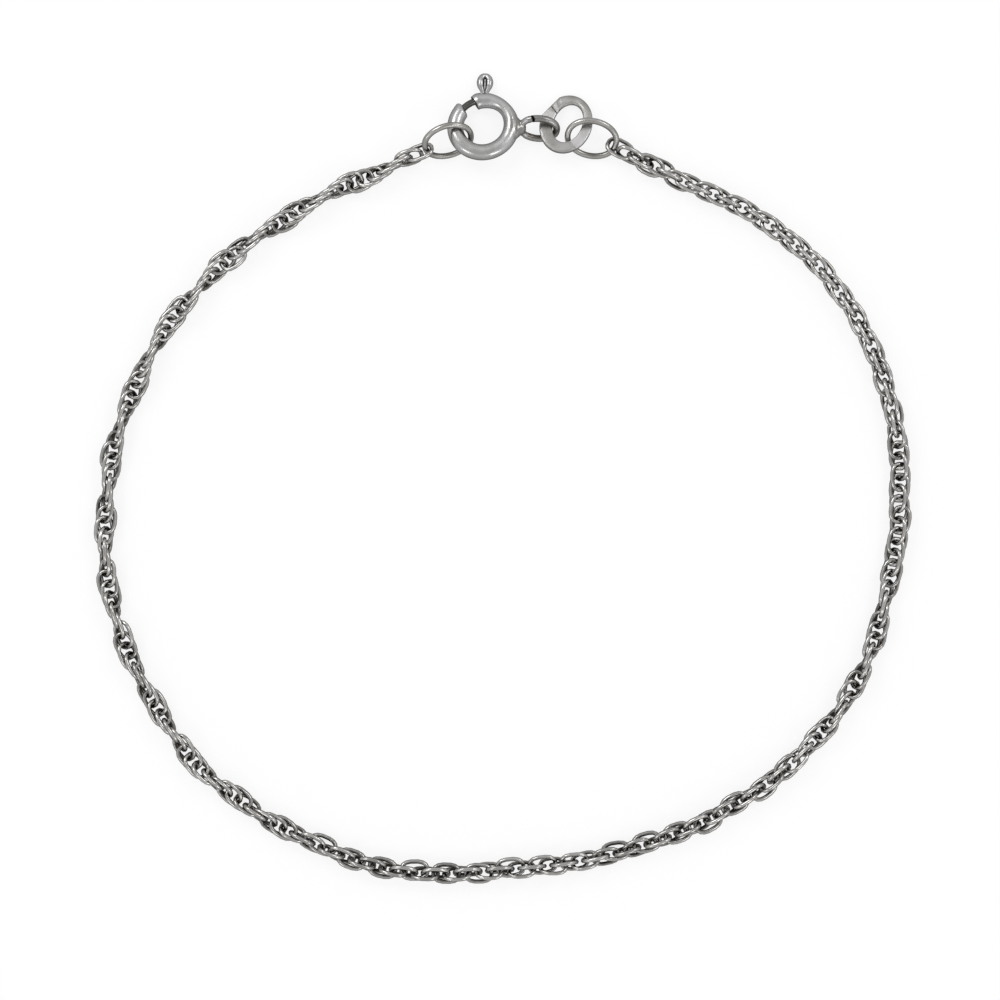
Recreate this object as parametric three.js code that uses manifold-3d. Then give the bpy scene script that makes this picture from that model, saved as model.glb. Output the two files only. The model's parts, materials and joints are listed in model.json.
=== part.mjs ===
// Singapore chain bracelet, fastened into its whole loop and lying flat. Millimetres, +Z up,
// origin on the surface below the middle of the loop, the clasp towards +Y.
//
// The chain's fine links are too many to mesh here, so two solid tubes hold their place; the
// links that hang on the jump rings, the jump rings and the clasp are whole pieces.
import * as THREE from 'three';
import { mergeVertices } from 'three/addons/utils/BufferGeometryUtils.js';
import Module from 'manifold-3d';

const wasm = await Module();
wasm.setup();

// Chain
const LINK_WIRE = 0.27;
const LINK_WIDTH = 1.5;
const LINK_PITCH = 0.79;
const LINK_LENGTH = 2 * LINK_PITCH + 2.1 * LINK_WIRE;
const TUBE_DIAMETER = 1.5;
const TUBE_STEPS = 40;
const TUBE_SIDES = 8;
const CHAIN_HEIGHT = (TUBE_DIAMETER / 2) * Math.cos(Math.PI / TUBE_SIDES);
const END_GAP = 0.08;

// Oval rings of round wire, by their outer sizes
const JUMP_WIRE = 0.46;
const TAIL_OVAL = { length: 3.14, width: 2.32 };
const LEFT_OVAL = { length: 3.94, width: 3.14 };
const RIGHT_OVAL = { length: 4.08, width: 3.18 };
const TAIL_CUT = { x: -0.62, y: 0.85, width: 0.16, depth: 0.7 };
const SOLDER_DROP = { width: 0.84, length: 1.8 };

// Spring ring
const SPRING_RING_DIAMETER = 5.1;
const SPRING_TUBE = 1.08;
const SPRING_BORE = 0.66;
const BOLT_WIRE = 0.5;
const KNOB_WIRE = 0.42;
const WINDOW_HEIGHT = 0.52;
const WINDOW_MARGIN = 10;

// Flat ring: its outer and inner ovals by their half width and half height and by how far their tops
// lean to the right in degrees, the inner one set off-centre; and where its rim is cut straight
const TAG_OUTER = { x: 0, y: 0, halfWidth: 1.9, halfHeight: 2.28, lean: 19 };
const TAG_INNER = { x: 0.12, y: 0.08, halfWidth: 1.1, halfHeight: 1.5, lean: 14 };
const TAG_FLAT = { angle: 132, out: 1.82 };
const TAG_THICKNESS = 0.42;
const TAG_BEVEL = 0.09;
const TAG_SLIT = 0.07;
const TAG_SLIT_ANGLE = 137;

// Facets: sides round a section, steps along it
const LINK_FACETS = { sides: 6, steps: 16 };
const OVAL_FACETS = { sides: 10, steps: 36 };
const TUBE_FACETS = { sides: 14, steps: 56 };
const BORE_FACETS = { sides: 10, steps: 20 };
const SOCKET_FACETS = { sides: 10, steps: 6 };
const KNOB_FACETS = { sides: 8, steps: 14 };

// Angles round the spring ring, in degrees from +X; a cut runs past the mouth's ends by CUT_PAST
const MOUTH_TIP = 142;
const MOUTH_HEEL = 108;
const SOCKET_END = 155;
const BORE_END = 22;
const KNOB = 87;
const BOLT_TIP = 146;
const BOLT_TAIL = 74;
const TRAVEL = 35;
const TAIL_JOINT = -3;
const CUT_PAST = 4;

// One leg of the hairpin that the knob is bent from, by its place across and out from the ring's middle
const KNOB_LEG = [
  { across: 0.08, out: 2.0 },
  { across: 0.08, out: 2.58 },
  { across: 0.28, out: 3.0 },
  { across: 0.4, out: 3.4 },
  { across: 0.3, out: 3.75 },
  { across: -0.05, out: 3.89 },
];

// The chain's route, seen from above: where its middle lies, by its angle and distance from ROUTE_CENTRE.
const ROUTE_CENTRE = { x: 0.0, y: 0.07 };
const ROUTE = [
  { angle: 104.3, distance: 24.65 },
  { angle: 107, distance: 24.5 },
  { angle: 112, distance: 24.3 },
  { angle: 120, distance: 24.5 },
  { angle: 135, distance: 25.3 },
  { angle: 150, distance: 26.5 },
  { angle: 165, distance: 27.8 },
  { angle: 180, distance: 28.85 },
  { angle: 195, distance: 30.0 },
  { angle: 210, distance: 30.4 },
  { angle: 225, distance: 30.7 },
  { angle: 240, distance: 30.3 },
  { angle: 255, distance: 29.9 },
  { angle: 270, distance: 28.8 },
  { angle: 285, distance: 28.8 },
  { angle: 300, distance: 29.3 },
  { angle: 315, distance: 29.9 },
  { angle: 330, distance: 30.2 },
  { angle: 345, distance: 29.5 },
  { angle: 360, distance: 29.35 },
  { angle: 375, distance: 29.1 },
  { angle: 390, distance: 28.35 },
  { angle: 405, distance: 27.1 },
  { angle: 411, distance: 26.35 },
  { angle: 417, distance: 25.75 },
  { angle: 422, distance: 25.55 },
  { angle: 426, distance: 25.55 },
  { angle: 429.9, distance: 25.8 },
];

// How each clasp piece lies: its middle, then the turn of its long axis about Z, the roll about that
// axis and the dip of its +X end, in degrees.
const LIE = {
  spring: { at: [-1.3, 25.98, 1.07], turn: 0, roll: -12, dip: 1 },
  tail: { at: [2.75, 25.84, 0.88], turn: -4, roll: 41.5, dip: 4.5 },
  tag: { at: [4.78, 26.14, 0.81], turn: -3.5, roll: -16.5, dip: -3.5 },
  jumpLeft: { at: [-3.94, 24.9, 1.24], turn: 16, roll: 45, dip: 2 },
  jumpRight: { at: [6.66, 25.1, 0.92], turn: -12, roll: 29, dip: 4 },
  linkLeft1: { at: [-6.03, 24.07, 1.01], turn: -161.5, roll: 37, dip: 9.5 },
  linkLeft2: { at: [-6.81, 23.72, 0.87], turn: -163.5, roll: 131, dip: 3.5 },
  linkRight1: { at: [8.73, 24.38, 0.73], turn: -28, roll: 162, dip: -2 },
  linkRight2: { at: [9.47, 23.87, 0.88], turn: -26.5, roll: 55, dip: 9 },
};

const SILVER = { color: 0xbfc0c1, metalness: 1.0, roughness: 0.22 };
const DARK_SILVER = { color: 0x8f9092, metalness: 1.0, roughness: 0.3 };
const SATIN_SILVER = { color: 0xaeb0b1, metalness: 1.0, roughness: 0.38 };

const radians = THREE.MathUtils.degToRad;

// ---- solids -------------------------------------------------------------------------------------

function toSolid(geometry) {
  const bare = new THREE.BufferGeometry();
  bare.setAttribute('position', geometry.attributes.position);
  bare.setIndex(geometry.index);
  const merged = mergeVertices(bare, 1e-5);
  return new wasm.Manifold(new wasm.Mesh({
    numProp: 3,
    vertProperties: new Float32Array(merged.attributes.position.array),
    triVerts: new Uint32Array(merged.index.array),
  }));
}

function toGeometry(solid) {
  const mesh = solid.getMesh();
  const geometry = new THREE.BufferGeometry();
  geometry.setAttribute('position', new THREE.BufferAttribute(mesh.vertProperties, 3));
  geometry.setIndex(new THREE.BufferAttribute(mesh.triVerts, 1));
  geometry.computeVertexNormals();
  return geometry;
}

function lieMatrix(lie) {
  const turn = new THREE.Euler(radians(lie.roll), radians(lie.dip), radians(lie.turn), 'ZYX');
  const rotation = new THREE.Quaternion().setFromEuler(turn);
  return new THREE.Matrix4().compose(new THREE.Vector3(...lie.at), rotation, new THREE.Vector3(1, 1, 1));
}

// ---- wire shapes --------------------------------------------------------------------------------

// A ring of unit radius whose centreline is moved onto a flat closed curve, the wire staying round.
function wireLoop(wire, { sides, steps }, centreline) {
  const geometry = new THREE.TorusGeometry(1, wire / 2, sides, steps);
  geometry.rotateZ(Math.PI / steps);
  const position = geometry.attributes.position;
  for (let i = 0; i < position.count; i += 1) {
    const angle = Math.atan2(position.getY(i), position.getX(i));
    const out = Math.hypot(position.getX(i), position.getY(i)) - 1;
    const { x, y, nx, ny } = centreline(angle);
    position.setXY(i, x + nx * out, y + ny * out);
  }
  return geometry;
}

// A chain link: two half rounds joined by straight sides.
function linkGeometry() {
  const radius = (LINK_WIDTH - LINK_WIRE) / 2;
  const straight = (LINK_LENGTH - LINK_WIDTH) / 2;
  return wireLoop(LINK_WIRE, LINK_FACETS, (angle) => ({
    x: radius * Math.cos(angle) + straight * Math.sign(Math.cos(angle)),
    y: radius * Math.sin(angle),
    nx: Math.cos(angle),
    ny: Math.sin(angle),
  }));
}

// An oval jump ring of the given outer length and width.
function ovalRing({ length, width }) {
  const a = (length - JUMP_WIRE) / 2;
  const b = (width - JUMP_WIRE) / 2;
  return wireLoop(JUMP_WIRE, OVAL_FACETS, (angle) => {
    const normal = new THREE.Vector2(b * Math.cos(angle), a * Math.sin(angle)).normalize();
    return { x: a * Math.cos(angle), y: b * Math.sin(angle), nx: normal.x, ny: normal.y };
  });
}

function roundSection(diameter, sides) {
  const section = new THREE.Shape();
  for (let i = 0; i < sides; i += 1) {
    const angle = (2 * Math.PI * (i + 0.5)) / sides;
    const x = (diameter / 2) * Math.cos(angle);
    const y = (diameter / 2) * Math.sin(angle);
    if (i === 0) section.moveTo(x, y);
    else section.lineTo(x, y);
  }
  section.closePath();
  return section;
}

function wireAlong(curve, diameter, { sides, steps }) {
  return new THREE.ExtrudeGeometry(roundSection(diameter, sides), { steps, extrudePath: curve });
}

// Part of the circle that the spring ring's tube follows.
class RingArc extends THREE.Curve {
  constructor(radius, from, to) {
    super();
    Object.assign(this, { radius, from, to });
  }

  getPoint(t, target = new THREE.Vector3()) {
    const angle = radians(this.from + (this.to - this.from) * t);
    return target.set(this.radius * Math.cos(angle), this.radius * Math.sin(angle), 0);
  }
}

// ---- the chain ----------------------------------------------------------------------------------

function routePoint({ angle, distance }) {
  const x = ROUTE_CENTRE.x + distance * Math.cos(radians(angle));
  const y = ROUTE_CENTRE.y + distance * Math.sin(radians(angle));
  return new THREE.Vector3(x, y, CHAIN_HEIGHT);
}

// A solid tube in the place of the chain's links, between two fractions of the route.
function chainTube(route, from, to) {
  const points = [];
  for (let i = 0; i <= TUBE_STEPS; i += 1) {
    points.push(route.getPointAt(from + ((to - from) * i) / TUBE_STEPS));
  }
  const facets = { sides: TUBE_SIDES, steps: TUBE_STEPS };
  return wireAlong(new THREE.CatmullRomCurve3(points), TUBE_DIAMETER, facets);
}

// ---- the spring ring ----------------------------------------------------------------------------

const RING_RADIUS = (SPRING_RING_DIAMETER - SPRING_TUBE) / 2;

// The window in the tube's outer side that the knob slides along.
function knobWindow() {
  const low = radians(KNOB - TRAVEL - WINDOW_MARGIN);
  const high = radians(KNOB + WINDOW_MARGIN);
  const window = new THREE.Shape();
  window.absarc(0, 0, RING_RADIUS, low, high, false);
  window.absarc(0, 0, RING_RADIUS + SPRING_TUBE, high, low, true);
  window.closePath();
  const options = { depth: WINDOW_HEIGHT, bevelEnabled: false, curveSegments: 12 };
  const geometry = new THREE.ExtrudeGeometry(window, options);
  geometry.translate(0, 0, -WINDOW_HEIGHT / 2);
  return geometry;
}

// The open jump ring soldered to the tube, cut through where its ends meet.
function tailRing() {
  const inRing = lieMatrix(LIE.spring).invert().multiply(lieMatrix(LIE.tail));
  const ring = ovalRing(TAIL_OVAL).applyMatrix4(inRing);
  const cut = new THREE.BoxGeometry(TAIL_CUT.width, TAIL_CUT.depth, TAIL_CUT.depth);
  cut.translate(TAIL_CUT.x, TAIL_CUT.y, 0);
  cut.applyMatrix4(inRing);
  return toSolid(ring).subtract(toSolid(cut));
}

// The drop of solder between the tube and the tail ring.
function solder() {
  const drop = new THREE.SphereGeometry(SOLDER_DROP.width / 2, 16, 10);
  drop.scale(1, SOLDER_DROP.length / SOLDER_DROP.width, 1);
  drop.translate(SPRING_RING_DIAMETER / 2, 0, 0);
  drop.rotateZ(radians(TAIL_JOINT));
  return drop;
}

// The hollow ring, open at its mouth, with the bolt's bore, its socket and the knob's window cut out.
function springRing() {
  const arc = (from, to) => new RingArc(RING_RADIUS, from, to);
  const tube = wireAlong(arc(MOUTH_TIP, MOUTH_HEEL + 360), SPRING_TUBE, TUBE_FACETS);
  const bore = wireAlong(arc(BORE_END, MOUTH_HEEL + CUT_PAST), SPRING_BORE, BORE_FACETS);
  const socket = wireAlong(arc(MOUTH_TIP - CUT_PAST, SOCKET_END), SPRING_BORE, SOCKET_FACETS);
  const body = toSolid(tube).add(toSolid(solder())).add(tailRing());
  const cuts = toSolid(bore).add(toSolid(socket)).add(toSolid(knobWindow()));
  return toGeometry(body.subtract(cuts));
}

// One leg of the knob's hairpin; side is 1 or -1.
function knobLeg(side) {
  const points = KNOB_LEG.map(({ across, out }) => new THREE.Vector3(side * across, out, 0));
  return wireAlong(new THREE.CatmullRomCurve3(points), KNOB_WIRE, KNOB_FACETS).rotateZ(radians(KNOB - 90));
}

// The bolt that closes the mouth, with its knob.
function trigger() {
  const bolt = wireAlong(new RingArc(RING_RADIUS, BOLT_TAIL, BOLT_TIP), BOLT_WIRE, BORE_FACETS);
  return toGeometry(toSolid(bolt).add(toSolid(knobLeg(1))).add(toSolid(knobLeg(-1))));
}

// ---- the flat ring ------------------------------------------------------------------------------

// Adds a leaning oval to a shape, from one angle round the shape's middle to another.
function addOval(shape, { x, y, halfWidth, halfHeight, lean }, from, to, clockwise) {
  const start = from + radians(lean);
  const end = to + radians(lean);
  shape.absellipse(x, y, halfWidth, halfHeight, start, end, clockwise, -radians(lean));
}

// A block that cuts the flat ring's rim straight, across the slit.
function rimCut() {
  const size = 2 * TAG_OUTER.halfHeight;
  const block = new THREE.BoxGeometry(size, size, size);
  return block.translate(TAG_FLAT.out + size / 2, 0, 0).rotateZ(radians(TAG_FLAT.angle));
}

// A flat ring, broader at its sides than at its top, slit where its ends meet.
function tagRing() {
  const seam = radians(TAG_SLIT_ANGLE);
  const turn = 2 * Math.PI;
  const wide = Math.asin(TAG_SLIT / 2 / TAG_OUTER.halfHeight);
  const narrow = Math.asin(TAG_SLIT / 2 / TAG_INNER.halfHeight);
  const shape = new THREE.Shape();
  addOval(shape, TAG_OUTER, seam + wide, seam - wide + turn, false);
  addOval(shape, TAG_INNER, seam - narrow, seam + narrow - turn, true);
  shape.closePath();
  const geometry = new THREE.ExtrudeGeometry(shape, {
    depth: TAG_THICKNESS - 2 * TAG_BEVEL,
    bevelThickness: TAG_BEVEL,
    bevelSize: TAG_BEVEL,
    bevelOffset: -TAG_BEVEL,
    bevelSegments: 2,
    curveSegments: 40,
  });
  geometry.translate(0, 0, TAG_BEVEL - TAG_THICKNESS / 2);
  return toGeometry(toSolid(geometry).subtract(toSolid(rimCut())));
}

// ---- the scene graph ----------------------------------------------------------------------------

function piece(name, geometry, finish, lie) {
  const mesh = new THREE.Mesh(geometry, new THREE.MeshStandardMaterial(finish));
  mesh.name = name;
  if (lie) {
    mesh.position.set(...lie.at);
    mesh.rotation.set(radians(lie.roll), radians(lie.dip), radians(lie.turn), 'ZYX');
  }
  return mesh;
}

function chain() {
  const route = new THREE.CatmullRomCurve3(ROUTE.map(routePoint), false, 'centripetal');
  route.arcLengthDivisions = 2000;
  const length = route.getLength();
  const clear = (LINK_PITCH + LINK_LENGTH / 2 + END_GAP) / length;
  const half = END_GAP / length;
  return [
    piece('chain_left', chainTube(route, clear, 0.5 - half), SILVER),
    piece('chain_right', chainTube(route, 0.5 + half, 1 - clear), SILVER),
    piece('link_left_1', linkGeometry(), SILVER, LIE.linkLeft1),
    piece('link_left_2', linkGeometry(), SILVER, LIE.linkLeft2),
    piece('link_right_1', linkGeometry(), SILVER, LIE.linkRight1),
    piece('link_right_2', linkGeometry(), SILVER, LIE.linkRight2),
  ];
}

function clasp() {
  return [
    piece('spring_ring', springRing(), DARK_SILVER, LIE.spring),
    piece('trigger', trigger(), DARK_SILVER, LIE.spring),
    piece('tag_ring', tagRing(), SATIN_SILVER, LIE.tag),
    piece('jump_ring_left', ovalRing(LEFT_OVAL), SILVER, LIE.jumpLeft),
    piece('jump_ring_right', ovalRing(RIGHT_OVAL), SILVER, LIE.jumpRight),
  ];
}

const bracelet = new THREE.Group();
bracelet.add(...chain(), ...clasp());

export default bracelet;
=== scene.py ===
"""A singapore chain bracelet in silver, fastened into its loop and lying flat.

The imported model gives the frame: where each ring, the clasp and the chain's run lie. This script dresses it.
The chain's two stand-in tubes become interlocking wire links, and the clasp's rings become smooth metal.
"""

import json
import logging
import math
from collections.abc import Callable, Iterable, Iterator
from contextlib import contextmanager
from dataclasses import dataclass, field
from enum import Enum

import bpy
import numpy as np
from mathutils import Matrix, Vector

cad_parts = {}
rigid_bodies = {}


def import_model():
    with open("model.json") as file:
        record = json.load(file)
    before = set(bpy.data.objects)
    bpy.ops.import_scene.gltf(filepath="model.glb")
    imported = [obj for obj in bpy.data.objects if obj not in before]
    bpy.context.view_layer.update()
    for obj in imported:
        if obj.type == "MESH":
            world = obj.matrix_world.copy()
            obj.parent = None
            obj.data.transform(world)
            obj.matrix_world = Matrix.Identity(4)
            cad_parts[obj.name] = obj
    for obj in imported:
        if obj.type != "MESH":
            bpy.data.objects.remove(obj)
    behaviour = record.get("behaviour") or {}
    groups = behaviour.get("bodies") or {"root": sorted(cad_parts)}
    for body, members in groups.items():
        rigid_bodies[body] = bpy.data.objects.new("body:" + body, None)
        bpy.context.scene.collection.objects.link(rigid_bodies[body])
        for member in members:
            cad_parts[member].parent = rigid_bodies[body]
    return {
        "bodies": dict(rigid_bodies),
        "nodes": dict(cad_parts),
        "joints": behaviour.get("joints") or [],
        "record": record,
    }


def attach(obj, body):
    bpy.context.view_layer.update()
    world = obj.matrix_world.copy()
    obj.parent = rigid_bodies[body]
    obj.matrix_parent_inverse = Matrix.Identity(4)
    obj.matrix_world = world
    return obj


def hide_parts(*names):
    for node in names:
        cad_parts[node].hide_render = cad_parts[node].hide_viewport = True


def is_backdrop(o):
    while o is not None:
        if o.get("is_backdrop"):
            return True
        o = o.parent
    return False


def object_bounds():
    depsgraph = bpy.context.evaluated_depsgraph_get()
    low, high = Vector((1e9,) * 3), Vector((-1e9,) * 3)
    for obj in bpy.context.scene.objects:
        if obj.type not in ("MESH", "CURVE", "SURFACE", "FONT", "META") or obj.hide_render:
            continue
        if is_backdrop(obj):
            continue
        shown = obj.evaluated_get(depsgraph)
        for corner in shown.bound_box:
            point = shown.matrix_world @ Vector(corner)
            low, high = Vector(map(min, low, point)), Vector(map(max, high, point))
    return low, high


MM = 0.001
BODY = "bracelet"
TRIGGER_BODY = "trigger"
LOG = logging.getLogger("bracelet")

Object = bpy.types.Object
Pair = tuple[float, float]
Point = tuple[float, float, float]


# ---- modelling helpers ----


def select_only(*objects: Object) -> None:
    """Selects these objects alone and makes the first one active.

    Args:
        objects: The objects to select.
    """
    bpy.ops.object.select_all(action="DESELECT")
    for obj in objects:
        obj.select_set(True)
    bpy.context.view_layer.objects.active = objects[0]


@contextmanager
def editing(obj: Object) -> Iterator[None]:
    """Keeps a mesh or a curve in edit mode for the length of a with block.

    Args:
        obj: The object to edit.
    """
    select_only(obj)
    bpy.ops.object.mode_set(mode="EDIT")
    yield
    bpy.ops.object.mode_set(mode="OBJECT")


def select_vertices(obj: Object, test: Callable[[Vector], bool]) -> None:
    """Selects a mesh's vertices by their place, from inside edit mode.

    Args:
        obj: The mesh object, in edit mode.
        test: Says of a vertex's place whether it is wanted.
    """
    bpy.ops.mesh.select_mode(type="VERT")
    bpy.ops.mesh.select_all(action="DESELECT")
    bpy.ops.object.mode_set(mode="OBJECT")
    for vertex in obj.data.vertices:
        vertex.select = test(vertex.co)
    bpy.ops.object.mode_set(mode="EDIT")


def apply_place(obj: Object, matrix: Matrix | None = None) -> None:
    """Puts an object's place into its mesh, so that the object sits at the origin.

    Args:
        obj: The object.
        matrix: A place to give it first, or None to keep its own.
    """
    if matrix is not None:
        obj.matrix_world = matrix @ obj.matrix_world
    select_only(obj)
    bpy.ops.object.transform_apply(location=True, rotation=True, scale=True)


def apply_modifier(obj: Object, kind: str, **settings: object) -> None:
    """Adds a modifier and applies it.

    Args:
        obj: The mesh object.
        kind: Blender's name for the modifier's type.
        settings: The modifier's settings by name.
    """
    select_only(obj)
    modifier = obj.modifiers.new(kind.title(), kind)
    for name, value in settings.items():
        setattr(modifier, name, value)
    bpy.ops.object.modifier_apply(modifier=modifier.name)


def combine(obj: Object, other: Object, operation: str, crossing: bool = False) -> None:
    """Adds or cuts away another closed mesh and removes it; crossing: one of them runs through itself."""
    apply_modifier(obj, "BOOLEAN", object=other, operation=operation, solver="EXACT", use_self=crossing)
    bpy.data.objects.remove(other)


def tidy(obj: Object, sharp: float = 40.0) -> None:
    """Merges doubles, turns the faces outward and shades the mesh smooth up to an angle.

    Args:
        obj: The mesh object.
        sharp: Edges sharper than this many degrees stay sharp.
    """
    with editing(obj):
        bpy.ops.mesh.select_all(action="SELECT")
        bpy.ops.mesh.remove_doubles(threshold=0.0005 * MM)
        bpy.ops.mesh.normals_make_consistent(inside=False)
    bpy.ops.object.shade_smooth_by_angle(angle=math.radians(sharp))


def reshape(obj: Object, move: Callable[[Vector], Vector]) -> None:
    """Moves each vertex of a mesh to a place worked out from its own.

    Args:
        obj: The mesh object, in object mode.
        move: Gives a vertex's new place from its old one.
    """
    for vertex in obj.data.vertices:
        vertex.co = move(vertex.co.copy())
    obj.data.update()


def paint_darkening(obj: Object, amount: Callable[[Vector], float]) -> None:
    """Marks how dark each vertex of a mesh is painted, from 0 to 1, for the finish to show: tarnishing, and
    painted shade where a piece's function gives it.

    Args:
        obj: The mesh object, in object mode.
        amount: Gives how dark a vertex's place is painted.
    """
    marks = obj.data.attributes.new("hollow", "FLOAT", "POINT")
    for vertex, mark in zip(obj.data.vertices, marks.data):
        mark.value = clamp(amount(vertex.co))


def clamp(value: float) -> float:
    """Keeps a value between 0 and 1."""
    return min(1.0, max(0.0, value))


def heading(degrees: float) -> Pair:
    """The step of length one at an angle round from +X."""
    angle = math.radians(degrees)
    return math.cos(angle), math.sin(angle)


def turned(degrees: float, axis: str = "Z") -> Matrix:
    """A turn about an axis through the origin."""
    return Matrix.Rotation(math.radians(degrees), 4, axis)


def swept_arc(
    radius: float, start: float, end: float, sides: int, steps: int, size: Pair
) -> Object:
    """Spins a flat oval or square section round the Z axis into a closed curved bar.

    Args:
        radius: Distance from the axis to the section's middle.
        start: Where the bar starts, in degrees round from +X.
        end: Where it ends, in degrees, more than start.
        sides: Sides of the section; 4 gives a square one.
        steps: Steps along the bar.
        size: The section's half width and half height.

    Returns:
        The bar.
    """
    bpy.ops.mesh.primitive_circle_add(
        vertices=sides, radius=1.0, fill_type="NGON", rotation=(math.pi / 2, math.pi / sides, 0.0)
    )
    bar = bpy.context.object
    corner = math.sqrt(2.0) if sides == 4 else 1.0
    apply_place(bar)
    bar.scale = (size[0] * corner, 1.0, size[1] * corner)
    bar.location = (radius, 0.0, 0.0)
    apply_place(bar)
    apply_place(bar, turned(start))
    with editing(bar):
        bpy.ops.mesh.select_all(action="SELECT")
        bpy.ops.mesh.spin(steps=steps, angle=-math.radians(end - start), center=(0, 0, 0), axis=(0, 0, 1))
    return bar


def oval_wire(length: float, width: float, wire: float) -> Object:
    """Bends round wire into a flat closed oval in the XY plane.

    Args:
        length: Outer size along X.
        width: Outer size along Y.
        wire: The wire's diameter.

    Returns:
        The ring, as a mesh.
    """
    bpy.ops.curve.primitive_bezier_circle_add(radius=1.0)
    ring = bpy.context.object
    with editing(ring):
        bpy.ops.curve.select_all(action="SELECT")
        bpy.ops.transform.resize(value=((length - wire) / 2, (width - wire) / 2, 1.0))
    ring.data.bevel_depth = wire / 2
    ring.data.bevel_resolution = 6
    ring.data.resolution_u = 20
    bpy.ops.object.convert(target="MESH")
    return bpy.context.object


def inner_wall_shade(length: float, width: float, wire: float, most: float) -> Callable[[Vector], float]:
    """Tells how dark an oval ring is painted as shade, most on the wall of its hole.

    Args:
        length: Outer size along X.
        width: Outer size along Y.
        wire: The wire's diameter.
        most: The painted shade on the wall.

    Returns:
        A function from a place on the ring, in its own axes, to the painted shade there.
    """
    along, across = (length - wire) / 2, (width - wire) / 2
    edge = wire / 2 / across
    return lambda place: most * clamp((1.0 - math.hypot(place.x / along, place.y / across)) / edge)


def bent_wire(points: list[Point], wires: list[float]) -> Object:
    """Bends round wire of changing thickness along a smooth line through points.

    Args:
        points: The places that the wire's middle passes through.
        wires: The wire's diameter at each point.

    Returns:
        The wire, as a mesh with closed ends.
    """
    curve = bpy.data.curves.new("wire", "CURVE")
    curve.dimensions = "3D"
    spline = curve.splines.new("BEZIER")
    spline.bezier_points.add(len(points) - 1)
    for knot, place, wire in zip(spline.bezier_points, points, wires):
        knot.co = place
        knot.radius = wire / wires[0]
        knot.handle_left_type = knot.handle_right_type = "AUTO"
    curve.bevel_depth = wires[0] / 2
    curve.bevel_resolution = 5
    curve.resolution_u = 10
    curve.use_fill_caps = True
    obj = bpy.data.objects.new("wire", curve)
    bpy.context.collection.objects.link(obj)
    select_only(obj)
    bpy.ops.object.convert(target="MESH")
    wire_mesh = bpy.context.object
    tidy(wire_mesh)
    return wire_mesh


def dress(
    obj: Object, name: str, material: bpy.types.Material, body: str, nodes: Iterable[str]
) -> Object:
    """Names a finished piece, gives it its finish and puts it in its CAD nodes' place.

    Args:
        obj: The finished mesh.
        name: The piece's name.
        material: Its finish.
        body: The CAD body that it rides on.
        nodes: The CAD nodes that it stands for.

    Returns:
        The piece.
    """
    obj.name = obj.data.name = name
    obj.data.materials.clear()
    obj.data.materials.append(material)
    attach(obj, body)
    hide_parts(*nodes)
    LOG.info("%s: %d faces, for %s", name, len(obj.data.polygons), ", ".join(nodes))
    return obj


# ---- how things lie ----


@dataclass(frozen=True)
class Lie:
    """Where a flat ring lies: its middle and its own axes, long, short and normal."""

    matrix: Matrix
    size: Vector

    @classmethod
    def of_node(cls, node: Object, turn: float | None = None) -> "Lie":
        """Reads a flat node's place from its mesh.

        Args:
            node: The CAD node.
            turn: The turn of the ring's own X axis about Z in degrees, or None where its longest side is X.

        Returns:
            The node's place, its normal pointing up and its X axis along the row's.
        """
        places = np.array([tuple(vertex.co) for vertex in node.data.vertices])
        _, axes = np.linalg.eigh(np.cov(places.T))
        normal = Vector(axes[:, 0])
        normal = normal if normal.z > 0 else -normal
        along = Vector(axes[:, 2])
        if turn is not None:
            along = Vector((*heading(turn), 0.0))
        return cls.about(places, normal, along if along.x > 0 else -along)

    @classmethod
    def about(cls, places: np.ndarray, normal: Vector, along: Vector) -> "Lie":
        """Works out the middle and the size of a cloud of points in a plane's own axes.

        Args:
            places: The points, one to a row.
            normal: The plane's normal.
            along: Roughly the plane's X axis.

        Returns:
            The place.
        """
        normal = normal.normalized()
        along = (along - normal * along.dot(normal)).normalized()
        axes = Matrix((along, normal.cross(along), normal)).transposed()
        own = places @ np.array(axes)
        low, high = own.min(axis=0), own.max(axis=0)
        middle = axes @ Vector((low + high) / 2)
        return cls(Matrix.Translation(middle) @ axes.to_4x4(), Vector(high - low))


# ---- finishes ----


class Sheen(Enum):
    """How the silver's surface was left, as its lowest and highest roughness."""

    POLISHED = (0.08, 0.22)
    WORN = (0.16, 0.36)
    SATIN = (0.3, 0.5)


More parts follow.
